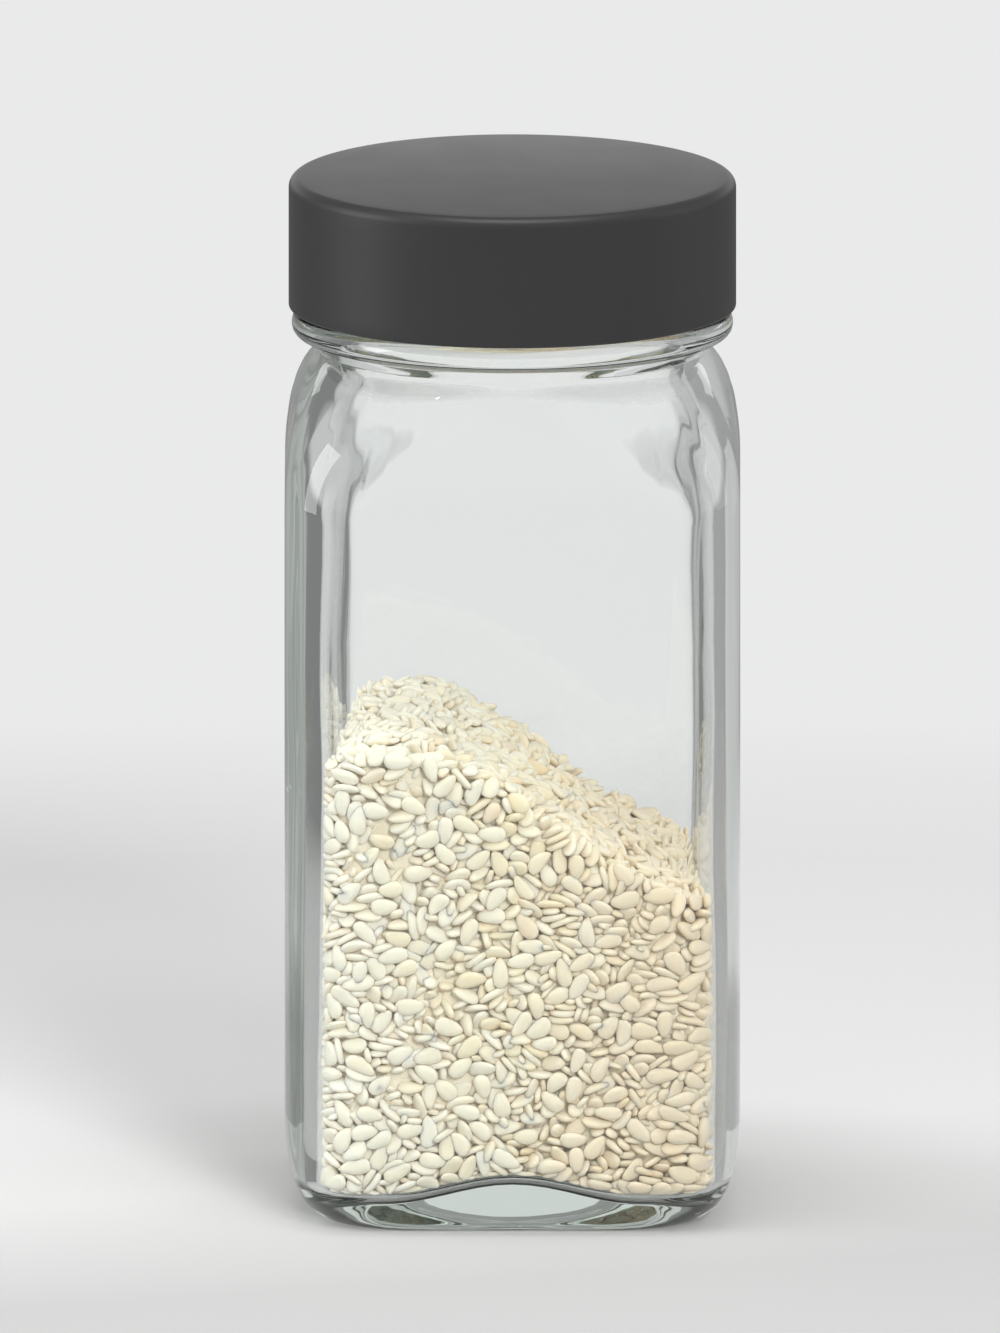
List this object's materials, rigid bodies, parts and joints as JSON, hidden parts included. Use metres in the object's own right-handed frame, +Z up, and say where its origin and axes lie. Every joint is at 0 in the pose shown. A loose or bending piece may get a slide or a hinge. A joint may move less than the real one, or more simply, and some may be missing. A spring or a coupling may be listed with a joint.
{
  "type": "spice jar",
  "caption": "Square clear glass spice jar with rounded shoulders, a dark screw cap with a sealing liner, a shaker insert in the neck and a sloping part fill of hulled sesame seeds.",
  "frame": {"origin": "middle of the flat face under the base that the jar stands on", "axes": "+Z up along the axis of the neck and cap; X and Y square to the four flat walls, -Y the side that the picture shows"},
  "size_m": [0.05, 0.05, 0.1139],
  "materials": {
    "glass": "gloss",
    "insert_plastic": "satin",
    "cap_plastic": "matte",
    "cap_inner_plastic": "satin",
    "liner_foam": "matte",
    "sesame": "satin"
  },
  "bodies": {
    "jar": {"glass_jar": "glass", "shaker_insert": "insert_plastic", "sesame_seeds": "sesame"},
    "liner": {"cap_liner": "liner_foam"},
    "cap": {"cap_shell": "cap_plastic", "cap_inner": "cap_inner_plastic"}
  },
  "joints": [
    {"name": "cap_lift", "type": "slide", "parent": "jar", "child": "liner", "axis": [0, 0, 1], "range_m": [0, 0.01301]},
    {"name": "cap_turn", "type": "hinge", "parent": "liner", "child": "cap", "pos_m": [0, 0, 0.11], "axis": [0, 0, 1], "range_deg": [0, 1170]}
  ],
  "couplings": [
    {"joint": "cap_lift", "follows": "cap_turn", "m_per_rad": 0.00063662}
  ]
}
